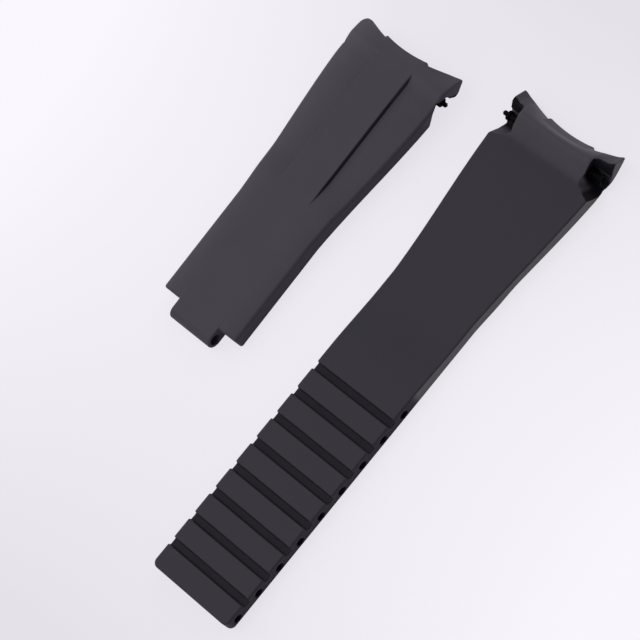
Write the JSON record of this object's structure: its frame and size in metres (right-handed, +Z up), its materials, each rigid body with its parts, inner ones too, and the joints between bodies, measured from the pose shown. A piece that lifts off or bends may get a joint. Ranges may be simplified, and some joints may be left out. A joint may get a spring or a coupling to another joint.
{
  "type": "watch strap",
  "caption": "Curved-end silicone watch strap in a short half with a bored tongue and a long half with cut-to-length ribs, each with a sprung pin for the case.",
  "frame": {"origin": "centre of the bounding box, at the lowest point, on the surface that both halves lie on", "axes": "+X along both halves towards their case ends, +Y across them from the long half to the short half, +Z up"},
  "size_m": [0.09, 0.0498, 0.0055],
  "materials": {
    "silicone": "matt, fine",
    "core": "moulded",
    "tube": "drawn",
    "bar": "black coated, turned",
    "spring": "drawn wire"
  },
  "bodies": {
    "straps": {"short_half": "silicone", "long_half": "silicone", "short_end_core": "core", "long_end_core": "core", "short_end_tube": "tube", "long_end_tube": "tube"},
    "short_bar": {"short_bar_barrel": "bar", "short_bar_spring": "spring"},
    "short_tip_left": {"short_bar_tip_left": "bar"},
    "short_tip_right": {"short_bar_tip_right": "bar"},
    "long_bar": {"long_bar_barrel": "bar", "long_bar_spring": "spring"},
    "long_tip_left": {"long_bar_tip_left": "bar"},
    "long_tip_right": {"long_bar_tip_right": "bar"}
  },
  "joints": [
    {"name": "short_bar_turn", "type": "hinge", "parent": "straps", "child": "short_bar", "pos_m": [0.03576, 0.0144, 0.00303], "axis": [0, 1, 0], "continuous": true},
    {"name": "short_tip_left_slide", "type": "slide", "parent": "short_bar", "child": "short_tip_left", "axis": [0, 1, 0], "range_m": [-0.0012, 0], "stiffness_N_per_m": 1500, "springref_m": 0.001, "deforming": ["short_bar_spring"]},
    {"name": "short_tip_right_slide", "type": "slide", "parent": "short_bar", "child": "short_tip_right", "axis": [0, -1, 0], "range_m": [-0.0012, 0], "stiffness_N_per_m": 1500, "springref_m": 0.001, "deforming": ["short_bar_spring"]},
    {"name": "long_bar_turn", "type": "hinge", "parent": "straps", "child": "long_bar", "pos_m": [0.0401, -0.0144, 0.0024], "axis": [0, 1, 0], "continuous": true},
    {"name": "long_tip_left_slide", "type": "slide", "parent": "long_bar", "child": "long_tip_left", "axis": [0, 1, 0], "range_m": [-0.0012, 0], "stiffness_N_per_m": 1500, "springref_m": 0.001, "deforming": ["long_bar_spring"]},
    {"name": "long_tip_right_slide", "type": "slide", "parent": "long_bar", "child": "long_tip_right", "axis": [0, -1, 0], "range_m": [-0.0012, 0], "stiffness_N_per_m": 1500, "springref_m": 0.001, "deforming": ["long_bar_spring"]}
  ]
}
